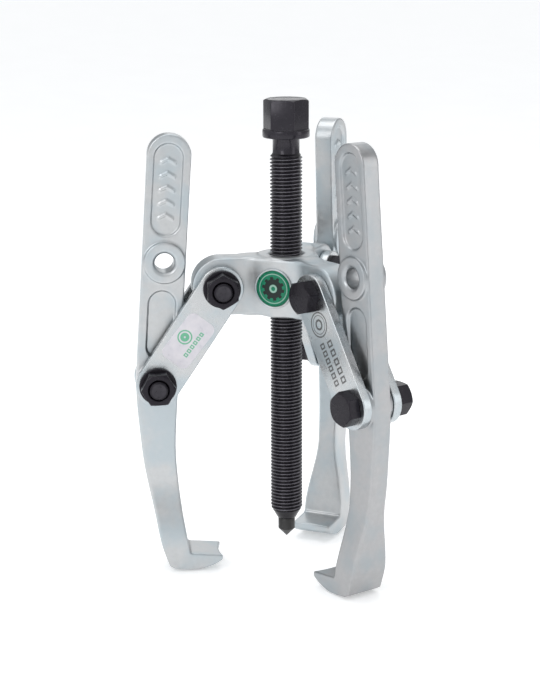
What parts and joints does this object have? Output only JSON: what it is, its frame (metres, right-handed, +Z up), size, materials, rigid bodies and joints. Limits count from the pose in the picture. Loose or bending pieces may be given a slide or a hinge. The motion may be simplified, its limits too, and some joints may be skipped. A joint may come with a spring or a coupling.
{
  "type": "gear puller",
  "caption": "Gear puller: a pressing screw in a forged hub, with hooked jaws hung around it on bolted pairs of flat straps.",
  "frame": {"origin": "on the screw's axis, where the screw point's cylinder meets its cone", "axes": "+Z up along the screw towards its hexagon; -X along the first arm"},
  "size_m": [0.1128, 0.1263, 0.2051],
  "materials": {
    "zinc_steel": "zinc plated, satin",
    "black_oxide": "black oxide, satin",
    "point_steel": "hardened and ground, matte",
    "badge_enamel": "gloss enamel"
  },
  "bodies": {
    "hub": {"hub": "zinc_steel", "badge": "badge_enamel"},
    "screw_point": {"screw_point": "point_steel"},
    "screw": {"screw": "black_oxide"},
    "straps_1": {"strap_1_nut_side": "zinc_steel", "strap_1_head_side": "zinc_steel", "hub_bolt_1": "black_oxide", "hub_washer_1": "black_oxide", "hub_nut_1": "black_oxide", "jaw_bolt_1": "black_oxide", "jaw_washer_1": "black_oxide", "jaw_nut_1": "black_oxide"},
    "jaw_1": {"jaw_1": "zinc_steel"},
    "straps_2": {"strap_2_nut_side": "zinc_steel", "strap_2_head_side": "zinc_steel", "hub_bolt_2": "black_oxide", "hub_washer_2": "black_oxide", "hub_nut_2": "black_oxide", "jaw_bolt_2": "black_oxide", "jaw_washer_2": "black_oxide", "jaw_nut_2": "black_oxide"},
    "jaw_2": {"jaw_2": "zinc_steel"},
    "straps_3": {"strap_3_nut_side": "zinc_steel", "strap_3_head_side": "zinc_steel", "hub_bolt_3": "black_oxide", "hub_washer_3": "black_oxide", "hub_nut_3": "black_oxide", "jaw_bolt_3": "black_oxide", "jaw_washer_3": "black_oxide", "jaw_nut_3": "black_oxide"},
    "jaw_3": {"jaw_3": "zinc_steel"}
  },
  "joints": [
    {"name": "screw_travel", "type": "slide", "parent": "hub", "child": "screw_point", "axis": [0, 0, 1], "range_m": [-0.01, 0.08]},
    {"name": "screw_turn", "type": "hinge", "parent": "screw_point", "child": "screw", "pos_m": [0, 0, 0], "axis": [0, 0, 1], "range_deg": [-2401, 19201]},
    {"name": "strap_swing_1", "type": "hinge", "parent": "hub", "child": "straps_1", "pos_m": [-0.0286, 0, 0.111], "axis": [0, -1, 0], "range_deg": [-16, 4]},
    {"name": "jaw_swing_1", "type": "hinge", "parent": "straps_1", "child": "jaw_1", "pos_m": [-0.05641, 0, 0.06945], "axis": [0, -1, 0], "range_deg": [-3, 7]},
    {"name": "strap_swing_2", "type": "hinge", "parent": "hub", "child": "straps_2", "pos_m": [0.0143, -0.02477, 0.111], "axis": [0.866, 0.5, 0], "range_deg": [-16, 4]},
    {"name": "jaw_swing_2", "type": "hinge", "parent": "straps_2", "child": "jaw_2", "pos_m": [0.02821, -0.04886, 0.06945], "axis": [0.866, 0.5, 0], "range_deg": [-1.6, 8.4]},
    {"name": "strap_swing_3", "type": "hinge", "parent": "hub", "child": "straps_3", "pos_m": [0.0143, 0.02477, 0.111], "axis": [-0.866, 0.5, 0], "range_deg": [-16, 4]},
    {"name": "jaw_swing_3", "type": "hinge", "parent": "straps_3", "child": "jaw_3", "pos_m": [0.02821, 0.04886, 0.06945], "axis": [-0.866, 0.5, 0], "range_deg": [-3.9, 6.1]}
  ],
  "couplings": [
    {"joint": "screw_turn", "follows": "screw_travel", "rad_per_m": 4188.8}
  ]
}
